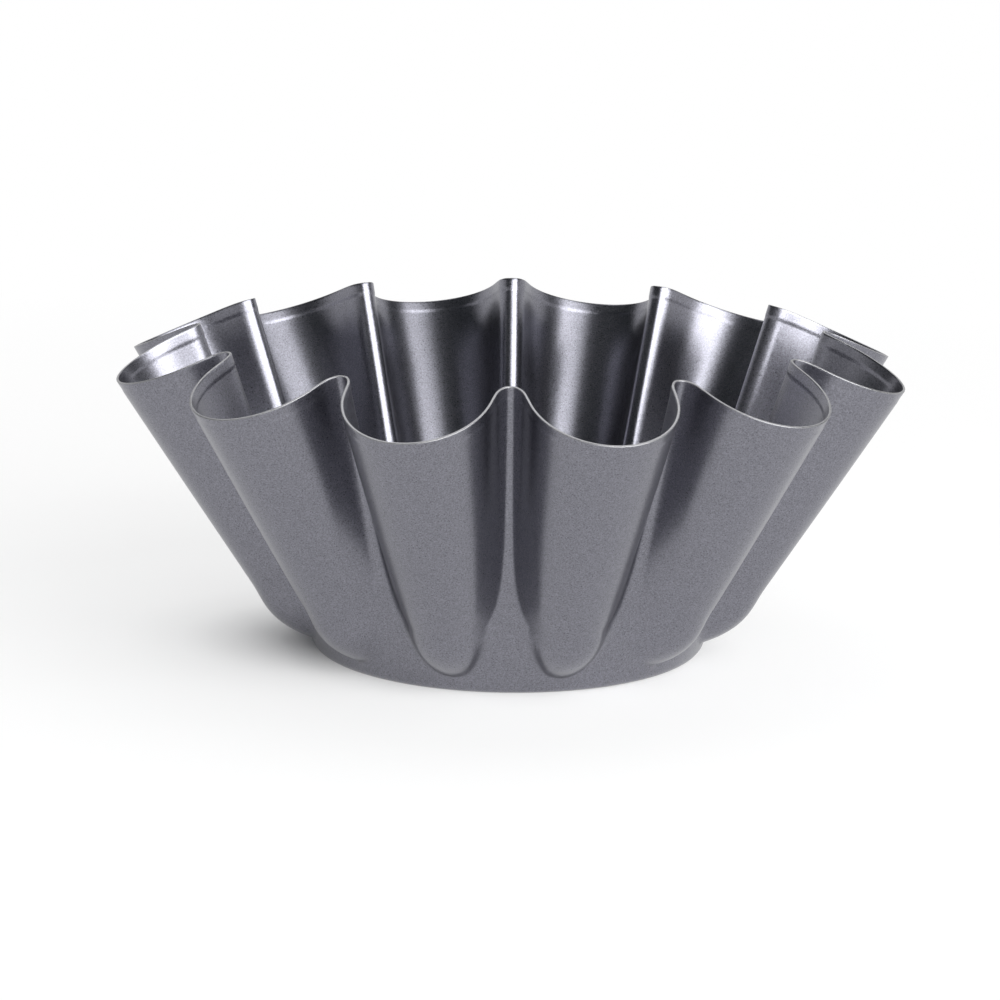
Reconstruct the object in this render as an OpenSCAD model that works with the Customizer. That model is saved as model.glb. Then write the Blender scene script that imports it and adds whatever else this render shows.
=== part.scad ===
// Fluted brioche mould, pressed in one piece from coated sheet steel.
// Millimetres, +Z up. The origin is the middle of the flat underside, and -Y is the front.
// Twelve narrow ridges point inwards, one of them at the front, and a wide flute
// lies between each pair. Below the flutes a plain round foot carries the mould.

/* [Rim] */
// Diameter over the flutes at the rim
rim_d = 220; // [200:1:240]
// Height of the ridges at the rim
rim_h = 90; // [80:1:100]
// How much lower the rim runs at the middle of each flute
rim_dip = 11; // [7:0.5:14]
// How deeply the rim curves down beside the ridges, 1 for a straight fall
dip_power = 1.13; // [1:0.01:1.4]
// How far the flutes stand out from the ridges at the rim
flute_depth = 23.3; // [19:0.1:26]
// Radius of the flutes at the rim
flute_r = 19.8; // [16:0.1:22]
// Radius along the crest of each ridge at the rim
ridge_r = 2.1; // [1.6:0.1:3]
// Half the flat left along each ridge at the rim, in degrees
ridge_half = 0.1; // [0.05:0.05:1]

/* [Lip] */
// Height of the trimmed lip below the rim
lip_h = 3; // [2:0.1:5]
// How far the lip is set in from the wall below it
lip_set = 0.12; // [0.05:0.01:0.4]
// Height of the slope between the wall and the lip
lip_slope = 0.7; // [0.3:0.1:1.2]

/* [Sheet] */
// Thickness of the sheet
sheet_t = 0.7; // [0.5:0.1:1.2]
// Number of flutes
flutes = 12; // [10:1:14]

/* [Foot] */
// Diameter of the foot cone carried down to the table
base_d = 109; // [100:1:120]
// Radius of the corner round the flat underside
corner_r = 3.6; // [3:0.1:6]
// Height at which the flutes run out into the foot
toe_low = 4.7; // [4.2:0.1:7]

/* [Flute toes] */
// Height at which the rounded toe of a flute becomes the straight wall
toe_high = 21; // [18:0.1:26]
// How far the flutes stand out from the ridges at that height
toe_depth = 11.2; // [8:0.2:13]
// Radius of the flutes at that height
toe_r = 9.6; // [7:0.2:11]
// How the flutes' radius grows up the wall, 1 for evenly
round_rise = 0.68; // [0.6:0.02:1]
// Radius at the sides of the ridges, and of the whole fold where the toes begin
fold_r = 6.2; // [5:0.1:7.5]
// Angle that the tight crest of a ridge turns through before its sides begin
crest_turn = 40; // [30:1:45]
// Half the flat at the foot of each ridge at that height, in degrees
toe_half = 1.2; // [0.5:0.1:2.5]
// Outward run of the toe for each millimetre of height where it leaves the foot
toe_run = 2.4; // [1.6:0.01:2.6]

/* [Hidden] */
half = 180 / flutes;
rim_r = rim_d / 2;
base_r = base_d / 2;
ridge_top = rim_r - flute_depth;
lean = atan((ridge_top - base_r) / rim_h);
corner_turn = 90 - lean;
flat_r = base_r - corner_r * tan(corner_turn / 2);

// Steps along half a flute: flat and crest of the ridge, fold, side and round of the flute
plan_steps = [1, 1, 2, 1, 5];
fine_steps = [2, 4, 6, 3, 16];
cols_half = plan_steps * [1, 1, 1, 1, 1];
cols = 2 * flutes * cols_half;

// Rows up the sheet: corner, toes, wall, slope and lip
corner_turns = [0, corner_turn / 2, corner_turn];
toe_rows = [0, 0.1, 0.26, 0.52, 1];
wall_rows = [0.34, 0.67];
wall_len = norm([rim_h - toe_high, ridge_top - ridge_at(toe_high)]);
lip_rows = [
    1 - (lip_h + lip_slope) / wall_len,
    1 - lip_h / wall_len,
    1
];
sheet_col = [0.30, 0.30, 0.32];

function polar(r, a) = [r * cos(a), r * sin(a)];
function angle_of(v) = atan2(v[1], v[0]);
function unit(v) = v / norm(v);
function wrapped(a) = a - 360 * round(a / 360);
function mix(a, b, k) = a * (1 - k) + b * k;

// Outside radius of the ridges at height z
function ridge_at(z) = mix(base_r, ridge_top, z / rim_h);

// Largest flute radius that still meets the fold of the ridge smoothly
function round_limit(centre, fold, r_out) =
    let (u = centre * polar(1, half))
    (r_out * r_out + centre * centre - fold * fold - 2 * r_out * u) / (2 * (r_out + fold - u));

// Plan of half a flute, from the middle of a ridge to the middle of the flute
function section(r_in, strip, crest, fold, r_out, round_r, n) =
    let (
        c0 = polar(r_in + crest, strip),
        c1 = c0 + polar(fold - crest, strip - crest_turn),
        r = max(0.02, min(round_r, 0.999 * round_limit(c1, fold, r_out))),
        c2 = polar(r_out - r, half),
        d = c2 - c1,
        side = angle_of(d) + acos(min(1, (fold + r) / norm(d))),
        top = strip + 180,
        share = min(crest_turn, 0.9 * (top - side)),
        sweep1 = wrapped(side - top + share),
        sweep2 = wrapped(half - side - 180),
        p1 = c1 + polar(fold, side),
        p2 = c2 - polar(r, side)
    )
    concat(
        [for (i = [0 : n[0] - 1]) polar(r_in, strip * i / n[0])],
        [for (i = [0 : n[1] - 1]) c0 + polar(crest, top - share * i / n[1])],
        [for (i = [0 : n[2] - 1]) c1 + polar(fold, top - share + sweep1 * i / n[2])],
        [for (i = [0 : n[3] - 1]) mix(p1, p2, i / n[3])],
        [for (i = [0 : n[4]]) c2 + polar(r, side + 180 + sweep2 * i / n[4])]
    );

// Plan of half a flute where the toe ends and the wall begins
toe_in = ridge_at(toe_high);
toe_out = toe_in + toe_depth;
toe_plan = section(toe_in, toe_half, fold_r, fold_r, toe_out, toe_r, plan_steps);
wall_run = (rim_r - toe_out) / (rim_h - rim_dip - toe_high);

// Outside radius at the middle of a flute, s from 0 at the foot to 1 at the wall
function toe_mid(s) =
    let (h = toe_high - toe_low)
    ridge_at(toe_low) * (2 * pow(s, 3) - 3 * s * s + 1)
    + toe_run * h * (pow(s, 3) - 2 * s * s + s)
    + toe_out * (3 * s * s - 2 * pow(s, 3))
    + wall_run * h * (pow(s, 3) - s * s);

// One row of the toe: the same angles as the row above it, pulled in to the toe's shape
function toe_row(s) =
    let (
        z = mix(toe_low, toe_high, s),
        f = sqrt(1 - (1 - s) * (1 - s)),
        strip = mix(half, toe_half, f),
        fold = fold_r * f,
        curve = section(ridge_at(z), strip, fold, fold, toe_mid(s), toe_r * f, fine_steps),
        table = [for (p = curve) [angle_of(p), norm(p)]]
    )
    [for (p = toe_plan) let (q = polar(lookup(angle_of(p), table), angle_of(p))) [q[0], q[1], z]];

// A plain round row, at the angles of the toe
function round_row(r, z) =
    [for (p = toe_plan) let (q = polar(r, angle_of(p))) [q[0], q[1], z]];

// One row of the wall, k from 0 at the toe to 1 at the rim. The crest of the ridge
// tightens quickly as it rises.
function wall_row(k) =
    let (
        r_in = mix(toe_in, ridge_top, k),
        depth = mix(toe_depth, flute_depth, k),
        soft = pow(1 - k, 8),
        strip = mix(ridge_half, toe_half, soft),
        crest = mix(ridge_r, fold_r, soft),
        round_r = mix(toe_r, flute_r, pow(k, round_rise))
    )
    [for (p = section(r_in, strip, crest, fold_r, r_in + depth, round_r, plan_steps))
        let (
            share = max(0, (norm(p) - r_in) / depth),
            top = rim_h - rim_dip * pow(share, dip_power)
        )
        [p[0], p[1], mix(toe_high, top, k)]
    ];

// Outside face of half a flute, row by row
half_rows = concat(
    [for (a = corner_turns) round_row(flat_r + corner_r * sin(a), corner_r * (1 - cos(a)))],
    [round_row(ridge_at(toe_low), toe_low)],
    [for (i = [1 : len(toe_rows) - 2]) toe_row(toe_rows[i])],
    [wall_row(0)],
    [for (k = wall_rows) wall_row(k)],
    [for (k = lip_rows) wall_row(k)]
);
rows = len(half_rows);

// How far each row of the wall stands proud of the lip
proud = concat(
    [for (i = [0 : rows - len(wall_rows) - 4]) 0],
    [for (k = wall_rows) lip_set * min(1, 2 * k)],
    [lip_set, 0, 0]
);

// The half flute is mirrored and turned round the axis, ridge to ridge from the front
function spot(r, i) =
    let (
        c = (i + cols) % cols,
        f = floor(c / (2 * cols_half)),
        m = c % (2 * cols_half),
        p = half_rows[r][m <= cols_half ? m : 2 * cols_half - m],
        a = angle_of(p),
        b = (m <= cols_half ? a : 2 * half - a) + 2 * half * f - 90,
        q = polar(norm([p[0], p[1]]), b)
    )
    [q[0], q[1], p[2]];

face = [for (r = [0 : rows - 1]) [for (i = [0 : cols - 1]) spot(r, i)]];

// Outward direction of the sheet at one point
function across(r, i) =
    let (
        p = face[r][i],
        east = face[r][(i + 1) % cols],
        west = face[r][(i + cols - 1) % cols],
        up = r < rows - 1 ? unit(face[r + 1][i] - p) : [0, 0, 0],
        down = r > 0 ? unit(p - face[r - 1][i]) : [0, 0, 0]
    )
    unit(cross(unit(east - p) + unit(p - west), up + down));

outer = [for (r = [0 : rows - 1]) for (i = [0 : cols - 1]) face[r][i] + proud[r] * across(r, i)];
inner = [for (r = [0 : rows - 1]) for (i = [0 : cols - 1])
    r == 0
        ? face[r][i] + [0, 0, sheet_t]
        : face[r][i] + (proud[r] - sheet_t) * across(r, i)
];

// Two triangles between neighbouring rows and columns, mirrored in each half flute
function quad(a, b, c, d, i) =
    i % (2 * cols_half) < cols_half ? [[a, b, c], [a, c, d]] : [[a, b, d], [b, c, d]];

module sheet() {
    n = rows * cols;
    outside = [for (r = [0 : rows - 2]) for (i = [0 : cols - 1])
        let (j = (i + 1) % cols)
        each quad(r * cols + i, (r + 1) * cols + i, (r + 1) * cols + j, r * cols + j, i)
    ];
    inside = [for (t = outside) [n + t[2], n + t[1], n + t[0]]];
    top = (rows - 1) * cols;
    rim = [for (i = [0 : cols - 1])
        let (j = (i + 1) % cols)
        each quad(top + i, n + top + i, n + top + j, top + j, i)
    ];
    under = [[for (i = [0 : cols - 1]) i]];
    floor_face = [[for (i = [0 : cols - 1]) n + cols - 1 - i]];
    polyhedron(points = concat(outer, inner), faces = concat(outside, inside, rim, under, floor_face));
}

module mould() {
    color(sheet_col)
    union() {
        sheet();
        // Flat bottom plate, inside the pressed floor
        cylinder(h = sheet_t, r = flat_r - 4, $fn = 96);
    }
}

mould();
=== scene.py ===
"""Fluted brioche mould, pressed from one sheet of steel with a dark non-stick coat."""
import math

import bpy
import numpy as np
from mathutils import Matrix, Vector


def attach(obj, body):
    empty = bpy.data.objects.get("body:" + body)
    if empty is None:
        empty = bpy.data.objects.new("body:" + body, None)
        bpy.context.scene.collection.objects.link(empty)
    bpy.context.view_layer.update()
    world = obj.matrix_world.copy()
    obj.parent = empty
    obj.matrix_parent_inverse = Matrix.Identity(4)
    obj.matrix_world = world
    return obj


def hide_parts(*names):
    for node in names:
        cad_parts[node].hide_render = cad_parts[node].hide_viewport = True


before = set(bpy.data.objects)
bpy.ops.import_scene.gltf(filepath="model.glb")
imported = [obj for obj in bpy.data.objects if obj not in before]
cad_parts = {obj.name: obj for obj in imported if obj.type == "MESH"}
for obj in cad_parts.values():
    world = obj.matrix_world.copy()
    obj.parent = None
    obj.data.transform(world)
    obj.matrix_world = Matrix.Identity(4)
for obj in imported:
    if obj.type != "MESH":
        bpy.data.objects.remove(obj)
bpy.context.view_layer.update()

MM = 0.001

# Sizes in millimetres. They match the part's source, with its angles turned into radians.
FLUTES = 12
RIM_R = 110.0
RIM_H = 90.0
RIM_DIP = 11.0
DIP_POWER = 1.13
FLUTE_DEPTH = 23.3
FLUTE_R = 19.8
RIDGE_R = 2.1
RIDGE_HALF = math.radians(0.1)
LIP_H = 3.0
LIP_SET = 0.12
LIP_SLOPE = 0.7
SHEET_T = 0.7
BASE_R = 54.5
CORNER_R = 3.6
TOE_LOW = 4.7
TOE_HIGH = 21.0
TOE_DEPTH = 11.2
TOE_R = 9.6
ROUND_RISE = 0.68
FOLD_R = 6.2
CREST_TURN = math.radians(40)
TOE_HALF = math.radians(1.2)
TOE_RUN = 2.4

# Power of the curve along which the ridge's crest tightens above the toe
CREST_POWER = 8
# Share of the wall's height over which it comes to stand proud of the lip
PROUD_RISE = 0.5
# Least radius of a flute, and how near it may come to the largest that fits
LEAST_R = 0.02
NEAR_LIMIT = 0.999
# Most of the turn from the top of a ridge to its side that the tight crest may take
CREST_SHARE = 0.9

# Rounding that the solid doesn't have. The lip's soft step reaches this far past its
# slope at each end.
LIP_EASE = 0.4
# How far the eased corners of the cut edge reach, and how much of that their middle point
# lies in from the sharp corner
EDGE_EASE = 0.16
EDGE_CORNER = 0.3

HALF = math.pi / FLUTES
RIDGE_TOP = RIM_R - FLUTE_DEPTH
LEAN = math.atan((RIDGE_TOP - BASE_R) / RIM_H)
CORNER_TURN = math.pi / 2 - LEAN
FLAT_R = BASE_R - CORNER_R * math.tan(CORNER_TURN / 2)

# Steps along half a flute: flat and crest of the ridge, fold, side and round of the flute.
# The toe's rows are read off the finer plan.
PLAN_STEPS = (2, 4, 6, 4, 18)
FINE_STEPS = (4, 6, 12, 6, 40)

# Rows up the sheet. Those of the toe lie closer together towards the foot.
CORNER_ROWS = 8
TOE_ROWS = 22
TOE_CROWDING = 1.6
WALL_ROWS = 18
SLOPE_ROWS = 8
LIP_ROWS = 4

# Rings of the flat bottom, as shares of its radius from the middle outwards
BOTTOM_RINGS = (0.25, 0.5, 0.75, 0.93)

# Material slots of the mesh
COAT = 0
CUT_EDGE = 1


# Shape of the pressed sheet

def polar(radius, angle):
    """Point at that radius and angle, seen from above."""
    return np.array([radius * math.cos(angle), radius * math.sin(angle)])


def ring_points(radius, angle, height):
    """Points from rows of radii, angles and heights."""
    return np.column_stack([radius * np.cos(angle), radius * np.sin(angle), height])


def wrapped(angle):
    """The same direction, as an angle between minus half a turn and half a turn."""
    return angle - 2 * math.pi * round(angle / (2 * math.pi))


def ridge_at(z):
    """Outside radius of the ridges at height z."""
    return BASE_R + (RIDGE_TOP - BASE_R) * z / RIM_H


def round_limit(centre, fold, r_out):
    """Largest flute radius that still meets the fold of the ridge smoothly."""
    u = centre @ polar(1.0, HALF)
    return (r_out * r_out + centre @ centre - fold * fold - 2 * r_out * u) / (2 * (r_out + fold - u))


def section(r_in, strip, crest, fold, r_out, round_r, steps):
    """Plan of half a flute, from the middle of a ridge to the middle of the flute."""
    c0 = polar(r_in + crest, strip)
    c1 = c0 + polar(fold - crest, strip - CREST_TURN)
    r = max(LEAST_R, min(round_r, NEAR_LIMIT * round_limit(c1, fold, r_out)))
    c2 = polar(r_out - r, HALF)
    d = c2 - c1
    side = math.atan2(d[1], d[0]) + math.acos(min(1.0, (fold + r) / math.hypot(*d)))
    top = strip + math.pi
    share = min(CREST_TURN, CREST_SHARE * (top - side))
    sweep1 = wrapped(side - top + share)
    sweep2 = wrapped(HALF - side - math.pi)
    p1 = c1 + polar(fold, side)
    p2 = c2 - polar(r, side)
    points = [polar(r_in, strip * i / steps[0]) for i in range(steps[0])]
    points += [c0 + polar(crest, top - share * i / steps[1]) for i in range(steps[1])]
    points += [c1 + polar(fold, top - share + sweep1 * i / steps[2]) for i in range(steps[2])]
    points += [p1 + (p2 - p1) * i / steps[3] for i in range(steps[3])]
    points += [c2 + polar(r, side + math.pi + sweep2 * i / steps[4]) for i in range(steps[4] + 1)]
    return np.array(points)


toe_in = ridge_at(TOE_HIGH)
toe_out = toe_in + TOE_DEPTH
toe_plan = section(toe_in, TOE_HALF, FOLD_R, FOLD_R, toe_out, TOE_R, PLAN_STEPS)
toe_angle = np.arctan2(toe_plan[:, 1], toe_plan[:, 0])
wall_run = (RIM_R - toe_out) / (RIM_H - RIM_DIP - TOE_HIGH)


def toe_mid(s):
    """Outside radius at the middle of a flute, s from 0 at the foot to 1 at the wall."""
    h = TOE_HIGH - TOE_LOW
    return (
        ridge_at(TOE_LOW) * (2 * s ** 3 - 3 * s * s + 1)
        + TOE_RUN * h * (s ** 3 - 2 * s * s + s)
        + toe_out * (3 * s * s - 2 * s ** 3)
        + wall_run * h * (s ** 3 - s * s)
    )


def round_row(radius, z):
    """A plain round row, at the angles of the toe."""
    return ring_points(radius, toe_angle, np.full(len(toe_angle), z))


def toe_row(s):
    """Row of the toe, s from 0 at the foot to 1 at the wall, at the angles of the row above it."""
    z = TOE_LOW + (TOE_HIGH - TOE_LOW) * s
    f = math.sqrt(1 - (1 - s) ** 2)
    strip = HALF + (TOE_HALF - HALF) * f
    fold = FOLD_R * f
    curve = section(ridge_at(z), strip, fold, fold, toe_mid(s), TOE_R * f, FINE_STEPS)
    radius = np.interp(toe_angle, np.arctan2(curve[:, 1], curve[:, 0]), np.hypot(*curve.T))
    return ring_points(radius, toe_angle, np.full(len(radius), z))


def blend(a, b, k):
    """Value between a and b, k from 0 at a to 1 at b."""
    return a * (1 - k) + b * k


def wall_row(k):
    """Row of the wall, k from 0 at the toe to 1 at the rim."""
    r_in = blend(toe_in, RIDGE_TOP, k)
    depth = blend(TOE_DEPTH, FLUTE_DEPTH, k)
    soft = (1 - k) ** CREST_POWER
    strip = blend(RIDGE_HALF, TOE_HALF, soft)
    crest = blend(RIDGE_R, FOLD_R, soft)
    round_r = blend(TOE_R, FLUTE_R, k ** ROUND_RISE)
    plan = section(r_in, strip, crest, FOLD_R, r_in + depth, round_r, PLAN_STEPS)
    radius = np.hypot(*plan.T)
    share = np.clip((radius - r_in) / depth, 0, None)
    top = RIM_H - RIM_DIP * share ** DIP_POWER
    return np.column_stack([plan, blend(TOE_HIGH, top, k)])


def sheet_rows():
    """Outside face of half a flute, row by row, and how far each row stands proud of the lip."""
    wall_len = math.hypot(RIM_H - TOE_HIGH, RIDGE_TOP - ridge_at(TOE_HIGH))
    slope_low = 1 - (LIP_H + LIP_SLOPE + LIP_EASE) / wall_len
    slope_high = 1 - (LIP_H - LIP_EASE) / wall_len
    rows = []
    for i in range(CORNER_ROWS + 1):
        a = CORNER_TURN * i / CORNER_ROWS
        radius = FLAT_R + CORNER_R * math.sin(a)
        rows.append((round_row(radius, CORNER_R * (1 - math.cos(a))), 0.0))
    rows.append((round_row(ridge_at(TOE_LOW), TOE_LOW), 0.0))
    for i in range(1, TOE_ROWS):
        rows.append((toe_row((i / TOE_ROWS) ** TOE_CROWDING), 0.0))
    for i in range(WALL_ROWS + 1):
        k = slope_low * i / WALL_ROWS
        rows.append((wall_row(k), LIP_SET * min(1.0, k / PROUD_RISE)))
    for i in range(1, SLOPE_ROWS + 1):
        t = i / SLOPE_ROWS
        proud = LIP_SET * (1 - t * t * (3 - 2 * t))
        rows.append((wall_row(blend(slope_low, slope_high, t)), proud))
    for i in range(1, LIP_ROWS + 1):
        rows.append((wall_row(blend(slope_high, 1.0, i / LIP_ROWS)), 0.0))
    return [r[0] for r in rows], np.array([r[1] for r in rows])


def whole_ring(row):
    """A half flute's row mirrored and turned round the axis, starting at the front ridge."""
    radius = np.hypot(row[:, 0], row[:, 1])
    angle = np.arctan2(row[:, 1], row[:, 0])
    radius = np.concatenate([radius, radius[-2:0:-1]])
    height = np.concatenate([row[:, 2], row[-2:0:-1, 2]])
    angle = np.concatenate([angle, 2 * HALF - angle[-2:0:-1]])
    ring = []
    for flute in range(FLUTES):
        a = angle + 2 * HALF * flute - math.pi / 2
        ring.append(ring_points(radius, a, height))
    return np.concatenate(ring)


def unit(v):
    """Directions of length 1. A zero vector stays zero."""
    tiny = 1e-12
    return v / np.maximum(np.linalg.norm(v, axis=-1, keepdims=True), tiny)


def across(face):
    """Outward direction of the sheet at every point of the grid."""
    along = unit(np.roll(face, -1, axis=1) - face) + unit(face - np.roll(face, 1, axis=1))
    step = unit(face[1:] - face[:-1])
    up = np.zeros_like(face)
    up[:-1] += step
    up[1:] += step
    return unit(np.cross(along, up))


def edge_rings(outer, inner, up):
    """The cut edge between the two faces' top rings, with eased corners. It lowers both rings."""
    top_out = outer.copy()
    top_in = inner.copy()
    outer -= up * EDGE_EASE
    inner -= up * EDGE_EASE
    inwards = unit(top_in - top_out)
    corner = inwards * EDGE_EASE * EDGE_CORNER
    drop = up * EDGE_EASE * EDGE_CORNER
    return [
        top_out + corner - drop,
        top_out + inwards * EDGE_EASE,
        top_in - inwards * EDGE_EASE,
        top_in - corner - drop,
    ]


def bottom_rings(ring, z, shares):
    """A flat ring shrunk by each share in turn, at height z."""
    return [np.column_stack([ring[:, :2] * share, np.full(len(ring), z)]) for share in shares]


def mould_mesh():
    """The whole closed sheet: from the middle of the underside, over the cut edge, to the floor."""
    rows, proud = sheet_rows()
    face = np.array([whole_ring(r) for r in rows])
    out = across(face)
    out[0] = (0, 0, -1)
    outer = face + proud[:, None, None] * out
    inner = face + (proud[:, None, None] - SHEET_T) * out
    edge = edge_rings(outer[-1], inner[-1], unit(face[-1] - face[-2]))
    under = bottom_rings(outer[0], 0.0, BOTTOM_RINGS)
    floor = bottom_rings(inner[0], SHEET_T, BOTTOM_RINGS[::-1])
    rings = under + list(outer) + edge + list(inner[::-1]) + floor
    first_edge = len(under) + len(outer) - 1
    last_edge = first_edge + len(edge) + 1

    verts = [(0.0, 0.0, 0.0)]
    for ring in rings:
        verts += [tuple(p) for p in ring * MM]
    verts.append((0.0, 0.0, SHEET_T * MM))

    cols = outer.shape[1]
    following = [(c + 1) % cols for c in range(cols)]
    faces = [(0, 1 + d, 1 + c) for c, d in enumerate(following)]
    slots = [COAT] * cols
    for r in range(len(rings) - 1):
        low = 1 + r * cols
        high = low + cols
        faces += [(low + c, low + d, high + d, high + c) for c, d in enumerate(following)]
        slots += [CUT_EDGE if first_edge <= r < last_edge else COAT] * cols
    low = 1 + (len(rings) - 1) * cols
    faces += [(len(verts) - 1, low + c, low + d) for c, d in enumerate(following)]
    slots += [COAT] * cols

    mesh = bpy.data.meshes.new("mould_shell")
    mesh.from_pydata(verts, [], faces)
    mesh.polygons.foreach_set("material_index", slots)
    mesh.polygons.foreach_set("use_smooth", [True] * len(faces))
    mesh.update()
    return mesh


# Materials

# Noise runs from about 0.3 to 0.7. A row of stops gives the colour at each value of it.
NOISE_LOW = 0.3
NOISE_HIGH = 0.7
NOISE_DETAIL = 2

# The coat's fine grain and its slight clouds
GRAIN_SCALE = 2600
GRAIN_COLOURS = (
    (0.28, (0.150, 0.150, 0.171)),
    (0.50, (0.217, 0.217, 0.247)),
    (0.74, (0.298, 0.298, 0.339)),
)
CLOUD_SCALE = 700
CLOUD_COLOURS = ((NOISE_LOW, (0.93, 0.93, 0.93)), (NOISE_HIGH, (1.0, 1.0, 1.0)))
COAT_NOISE_ROUGHNESS = 0.6
COAT_ROUGHNESS = (0.27, 0.33)
BUMP_STRENGTH = 0.04
BUMP_DEPTH = 0.03 * MM

# The cut edge
EDGE_SCALE = 1800
EDGE_COLOURS = ((NOISE_LOW, (0.24, 0.24, 0.25)), (NOISE_HIGH, (0.31, 0.31, 0.32)))
EDGE_ROUGHNESS = (0.28, 0.42)
EDGE_METALLIC = 0.9

# The floor
FLOOR_SCALE = 3
FLOOR_COLOURS = ((NOISE_LOW, (0.90, 0.90, 0.90)), (NOISE_HIGH, (0.92, 0.92, 0.92)))
FLOOR_ROUGHNESS = 0.9
FLOOR_SPECULAR = 0.1

# Painted shadow on the floor. The spot where it is deepest, in metres, and how much of the
# floor's white glow is kept at each distance from there. Less glow lets the lamps' real shadow
# show, so the shadow there is partly real and partly painted by place. The second list paints
# a darker ring close round the foot, a painted contact shadow.
PAINTED_SHADOW_SPOT = (-0.046, 0.005, 0.0)
PAINTED_SHADOW_WHITE = (
    (0.012, 0.05),
    (0.032, 0.42),
    (0.046, 0.62),
    (0.065, 0.70),
    (0.15, 0.73),
    (0.60, 1.0),
)
# Painted contact shadow: less white glow in a ring close round the foot
PAINTED_FOOT_SHADOW_SPOT = (0.0, 0.0, 0.0)
PAINTED_FOOT_SHADOW_WHITE = ((0.054, 0.75), (0.066, 1.0))


def new_material(name):
    """Material with a plain shader. Gives its nodes, links and shader back too."""
    mat = bpy.data.materials.new(name)
    mat.use_nodes = True
    nodes = mat.node_tree.nodes
    nodes.clear()
    out = nodes.new("ShaderNodeOutputMaterial")
    shader = nodes.new("ShaderNodeBsdfPrincipled")
    mat.node_tree.links.new(shader.outputs[0], out.inputs[0])
    return mat, nodes, mat.node_tree.links, shader


def noise(nodes, links, coords, scale, rough=0.5):
    """Noise of that fineness, fixed to the piece."""
    tex = nodes.new("ShaderNodeTexNoise")
    tex.inputs["Scale"].default_value = scale
    tex.inputs["Detail"].default_value = NOISE_DETAIL
    tex.inputs["Roughness"].default_value = rough
    links.new(coords.outputs["Object"], tex.inputs["Vector"])
    return tex.outputs["Fac"]


def ramp(nodes, links, value, stops):
    """Colour that follows the stops, each a value and the colour there."""
    node = nodes.new("ShaderNodeValToRGB")
    elements = node.color_ramp.elements
    elements[0].position = stops[0][0]
    elements[0].color = (*stops[0][1], 1)
    elements[1].position = stops[-1][0]
    elements[1].color = (*stops[-1][1], 1)
    for place, colour in stops[1:-1]:
        elements.new(place).color = (*colour, 1)
    links.new(value, node.inputs[0])
    return node.outputs[0]


def spread(nodes, links, value, low, high):
    """Noise spread over the range from low to high."""
    node = nodes.new("ShaderNodeMapRange")
    node.inputs["From Min"].default_value = NOISE_LOW
    node.inputs["From Max"].default_value = NOISE_HIGH
    node.inputs["To Min"].default_value = low
    node.inputs["To Max"].default_value = high
    links.new(value, node.inputs["Value"])
    return node.outputs[0]


def math_node(nodes, links, operation, first, second):
    node = nodes.new("ShaderNodeMath")
    node.operation = operation
    links.new(first, node.inputs[0])
    links.new(second, node.inputs[1])
    return node.outputs[0]


def seen_white(nodes, links):
    """1 for what the camera sees, straight, mirrored or through glass, and 0 for the light."""
    path = nodes.new("ShaderNodeLightPath")
    seen = math_node(nodes, links, "MAXIMUM", path.outputs["Is Camera Ray"], path.outputs["Is Glossy Ray"])
    return math_node(nodes, links, "MAXIMUM", seen, path.outputs["Is Transmission Ray"])


def distance_share(nodes, links, coords, centre, stops):
    """Value that follows the stops, each a distance from the centre and the value there."""
    away = nodes.new("ShaderNodeVectorMath")
    away.operation = "DISTANCE"
    away.inputs[1].default_value = centre
    links.new(coords.outputs["Object"], away.inputs[0])
    return ramp(nodes, links, away.outputs["Value"], [(place, (k, k, k)) for place, k in stops])


def coat_material():
    """Dark satin coat: a metal-like grey that mirrors the table, with a very fine grain."""
    mat, nodes, links, shader = new_material("nonstick_coat")
    coords = nodes.new("ShaderNodeTexCoord")
    grain = noise(nodes, links, coords, GRAIN_SCALE, COAT_NOISE_ROUGHNESS)
    cloud = noise(nodes, links, coords, CLOUD_SCALE, COAT_NOISE_ROUGHNESS)
    mix = nodes.new("ShaderNodeMix")
    mix.data_type = "RGBA"
    mix.blend_type = "MULTIPLY"
    mix.inputs[0].default_value = 1.0
    # Inputs 6 and 7 and output 2 are the node's colour sockets
    links.new(ramp(nodes, links, grain, GRAIN_COLOURS), mix.inputs[6])
    links.new(ramp(nodes, links, cloud, CLOUD_COLOURS), mix.inputs[7])
    links.new(mix.outputs[2], shader.inputs["Base Color"])
    links.new(spread(nodes, links, grain, *COAT_ROUGHNESS), shader.inputs["Roughness"])
    shader.inputs["Metallic"].default_value = 1.0
    bump = nodes.new("ShaderNodeBump")
    bump.inputs["Strength"].default_value = BUMP_STRENGTH
    bump.inputs["Distance"].default_value = BUMP_DEPTH
    links.new(grain, bump.inputs["Height"])
    links.new(bump.outputs[0], shader.inputs["Normal"])
    return mat


def edge_material():
    """Bare cut edge, a little lighter than the coat."""
    mat, nodes, links, shader = new_material("cut_edge")
    coords = nodes.new("ShaderNodeTexCoord")
    grain = noise(nodes, links, coords, EDGE_SCALE)
    links.new(ramp(nodes, links, grain, EDGE_COLOURS), shader.inputs["Base Color"])
    links.new(spread(nodes, links, grain, *EDGE_ROUGHNESS), shader.inputs["Roughness"])
    shader.inputs["Metallic"].default_value = EDGE_METALLIC
    return mat


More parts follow.
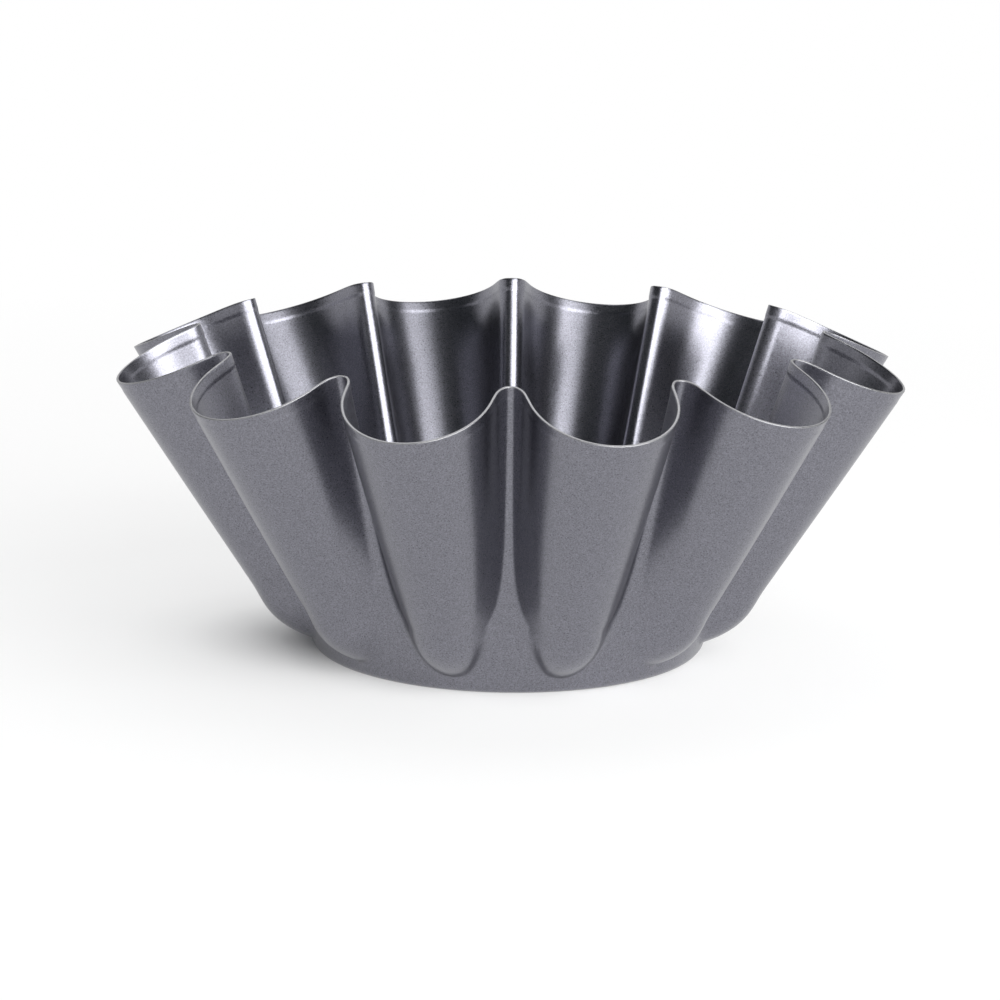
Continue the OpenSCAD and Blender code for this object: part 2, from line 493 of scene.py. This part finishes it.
def floor_material():
    """Pale floor that shows the lamps' shadow near the mould and runs out to plain white. Its white glow,
    seen straight and in the mould's reflections, is held back round a fixed spot and in a ring round the
    foot: a painted shadow on top of the real one.
    """
    mat, nodes, links, shader = new_material("studio_floor")
    coords = nodes.new("ShaderNodeTexCoord")
    cloud = noise(nodes, links, coords, FLOOR_SCALE)
    links.new(ramp(nodes, links, cloud, FLOOR_COLOURS), shader.inputs["Base Color"])
    shader.inputs["Roughness"].default_value = FLOOR_ROUGHNESS
    shader.inputs["Specular IOR Level"].default_value = FLOOR_SPECULAR
    # Painted shadow: less white glow near the shadow's spot and close round the foot
    painted_shadow_share = distance_share(nodes, links, coords, PAINTED_SHADOW_SPOT, PAINTED_SHADOW_WHITE)
    painted_foot_shadow_share = distance_share(nodes, links, coords, PAINTED_FOOT_SHADOW_SPOT, PAINTED_FOOT_SHADOW_WHITE)
    share = math_node(nodes, links, "MULTIPLY", painted_shadow_share, painted_foot_shadow_share)
    white = nodes.new("ShaderNodeEmission")
    mix = nodes.new("ShaderNodeMixShader")
    links.new(math_node(nodes, links, "MULTIPLY", seen_white(nodes, links), share), mix.inputs[0])
    links.new(shader.outputs[0], mix.inputs[1])
    links.new(white.outputs[0], mix.inputs[2])
    links.new(mix.outputs[0], nodes["Material Output"].inputs[0])
    return mat


# The mould itself

shell = bpy.data.objects.new("mould_shell", mould_mesh())
bpy.context.scene.collection.objects.link(shell)
shell.data.materials.append(coat_material())
shell.data.materials.append(edge_material())
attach(shell, "root")
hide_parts("mould")


# Floor, camera and light, in metres

# The floor lies just under the mould, so that the two flat faces don't meet
FLOOR_GAP = 0.0002
# Height at which the lamps are aimed
AIM_HEIGHT = 0.05
# The room's light, and the heights between which its white runs out above the horizon,
# as the upward part of a direction
ROOM_COLOUR = (0.78, 0.92, 1.0, 1)
ROOM_LEVEL = 0.04
WHITE_UP_TO = 0.19
WHITE_ENDS = 0.26


def studio_floor():
    """Floor that curves up behind the mould, far outside the picture."""
    reach = 8.0
    back = 2.4
    bend = 0.6
    rise = 1.6
    steps = 12
    profile = [(-reach, 0.0), (back, 0.0)]
    for i in range(1, steps + 1):
        a = math.pi / 2 * i / steps
        profile.append((back + bend * math.sin(a), bend * (1 - math.cos(a))))
    profile.append((back + bend, bend + rise))
    verts = [(x, y, z) for y, z in profile for x in (-reach, reach)]
    faces = [(2 * i, 2 * i + 1, 2 * i + 3, 2 * i + 2) for i in range(len(profile) - 1)]
    mesh = bpy.data.meshes.new("studio_floor")
    mesh.from_pydata(verts, [], faces)
    mesh.polygons.foreach_set("use_smooth", [True] * len(faces))
    floor = bpy.data.objects.new("studio_floor", mesh)
    bpy.context.scene.collection.objects.link(floor)
    floor.data.materials.append(floor_material())
    floor.location.z = -FLOOR_GAP


def studio_camera():
    """Camera of the photograph: distance, height and small roll come from a fit to the rim."""
    distance = 1.0289
    elevation = math.radians(14.856)
    roll = math.radians(0.741)
    cam = bpy.data.cameras.new("camera")
    cam.sensor_width = 36
    cam.lens = 130.91
    cam.shift_x = -0.0074
    cam.shift_y = 0.1427
    cam.clip_start = 0.05
    cam.clip_end = 50
    obj = bpy.data.objects.new("camera", cam)
    spot = Vector((0, -distance * math.cos(elevation), distance * math.sin(elevation)))
    turn = Matrix.Rotation(math.pi / 2 - elevation, 4, "X") @ Matrix.Rotation(roll, 4, "Z")
    obj.matrix_world = Matrix.Translation(spot) @ turn
    bpy.context.scene.collection.objects.link(obj)
    bpy.context.scene.camera = obj


def softbox(name, azimuth, elevation, distance, width, height, level):
    """Area lamp aimed at the mould, as bright as level. Azimuth 0 is the camera's side, 90 the right."""
    lamp = bpy.data.lights.new(name, "AREA")
    lamp.shape = "RECTANGLE"
    lamp.size = width
    lamp.size_y = height
    lamp.energy = level * math.pi * width * height
    obj = bpy.data.objects.new(name, lamp)
    a, e = math.radians(azimuth), math.radians(elevation)
    spot = Vector((math.sin(a) * math.cos(e), -math.cos(a) * math.cos(e), math.sin(e))) * distance
    aim = Vector((0, 0, AIM_HEIGHT)) - spot
    obj.matrix_world = Matrix.Translation(spot) @ aim.to_track_quat("-Z", "Y").to_matrix().to_4x4()
    bpy.context.scene.collection.objects.link(obj)


def studio_world():
    """Dim cool room that looks white up to a little above the horizon, past the floor's edge."""
    world = bpy.data.worlds.new("studio")
    world.use_nodes = True
    nodes = world.node_tree.nodes
    links = world.node_tree.links
    room = nodes["Background"]
    room.inputs["Color"].default_value = ROOM_COLOUR
    room.inputs["Strength"].default_value = ROOM_LEVEL
    white = nodes.new("ShaderNodeBackground")
    white.inputs["Color"].default_value = (1, 1, 1, 1)
    coords = nodes.new("ShaderNodeTexCoord")
    parts = nodes.new("ShaderNodeSeparateXYZ")
    links.new(coords.outputs["Generated"], parts.inputs[0])
    stops = ((WHITE_UP_TO, (1, 1, 1)), (WHITE_ENDS, (0, 0, 0)))
    band = ramp(nodes, links, parts.outputs["Z"], stops)
    mix = nodes.new("ShaderNodeMixShader")
    links.new(math_node(nodes, links, "MULTIPLY", seen_white(nodes, links), band), mix.inputs[0])
    links.new(room.outputs[0], mix.inputs[1])
    links.new(white.outputs[0], mix.inputs[2])
    links.new(mix.outputs[0], nodes["World Output"].inputs[0])
    bpy.context.scene.world = world


bpy.context.scene.view_settings.view_transform = "Standard"
studio_floor()
studio_camera()
studio_world()
softbox("key", azimuth=34, elevation=22, distance=1.4, width=1.6, height=0.9, level=6.5)
softbox("high", azimuth=47, elevation=47, distance=1.5, width=1.5, height=0.62, level=2.4)
softbox("top", azimuth=180, elevation=70, distance=1.5, width=2.0, height=1.4, level=1.9)
